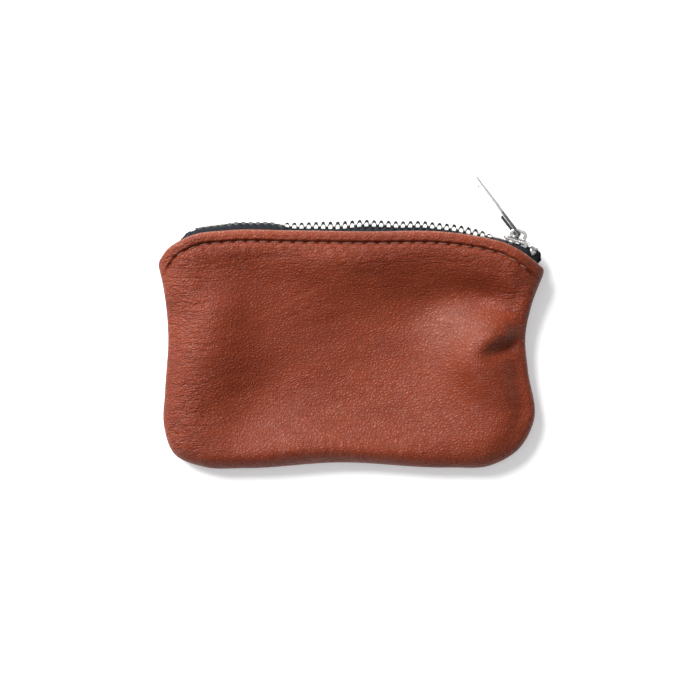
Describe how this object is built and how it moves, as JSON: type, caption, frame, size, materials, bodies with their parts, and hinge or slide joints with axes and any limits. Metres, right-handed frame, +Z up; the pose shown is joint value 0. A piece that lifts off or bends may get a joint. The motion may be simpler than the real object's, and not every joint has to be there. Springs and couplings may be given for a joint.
{
  "type": "zippered leather pouch",
  "caption": "Small soft leather pouch lying flat, with a curved metal zip along its top edge, a travelling slider, a hinged pull tab and a mouth that opens.",
  "frame": {"origin": "on the outer face of the back panel, near its middle, where the pouch rests on the table", "axes": "+X across the pouch towards the slider's closed end, +Y up the pouch towards the zip, +Z up from the table through the front panel"},
  "size_m": [0.1148, 0.0872, 0.0123],
  "materials": {
    "leather": "soft pebbled full-grain leather, warm reddish brown, semi-matt",
    "zipper_tape": "woven dark navy tape",
    "teeth": "bright nickel-plated teeth",
    "stops": "bright nickel-plated crimped metal",
    "slider_metal": "polished nickel-plated die casting",
    "pull_metal": "polished nickel-plated stamping",
    "thread": "twisted brown sewing thread"
  },
  "bodies": {
    "pouch": {"front_panel": "leather", "back_panel": "leather", "back_zipper_tape": "zipper_tape", "back_tooth_row": "teeth", "back_top_stop": "stops", "bottom_stop": "stops", "back_topstitch": "thread", "perimeter_seam": "thread"},
    "front_mouth": {"front_lip": "leather", "front_zipper_tape": "zipper_tape", "front_tooth_row": "teeth", "front_top_stop": "stops", "front_topstitch": "thread"},
    "slider": {"slider_body": "slider_metal"},
    "pull": {"pull_tab": "pull_metal"}
  },
  "joints": [
    {"name": "slider_travel", "type": "hinge", "parent": "pouch", "child": "slider", "pos_m": [-0.01067, -0.20517, 0.0062], "axis": [0, 0, 1], "range_deg": [0, 21.33], "deforming": ["back_tooth_row"]},
    {"name": "mouth_opening", "type": "hinge", "parent": "pouch", "child": "front_mouth", "pos_m": [-0.0445, 0.035, 0.01165], "axis": [0.9941, -0.1083, 0], "range_deg": [0, 44.8], "deforming": ["front_zipper_tape", "front_tooth_row", "front_topstitch"]},
    {"name": "pull_swing", "type": "hinge", "parent": "slider", "child": "pull", "pos_m": [0.04919, 0.03342, 0.0062], "axis": [-0.0941, 0.1249, 0.9877], "range_deg": [-132, 30]}
  ],
  "couplings": [
    {"joint": "mouth_opening", "follows": "slider_travel", "ratio": 2.1}
  ]
}
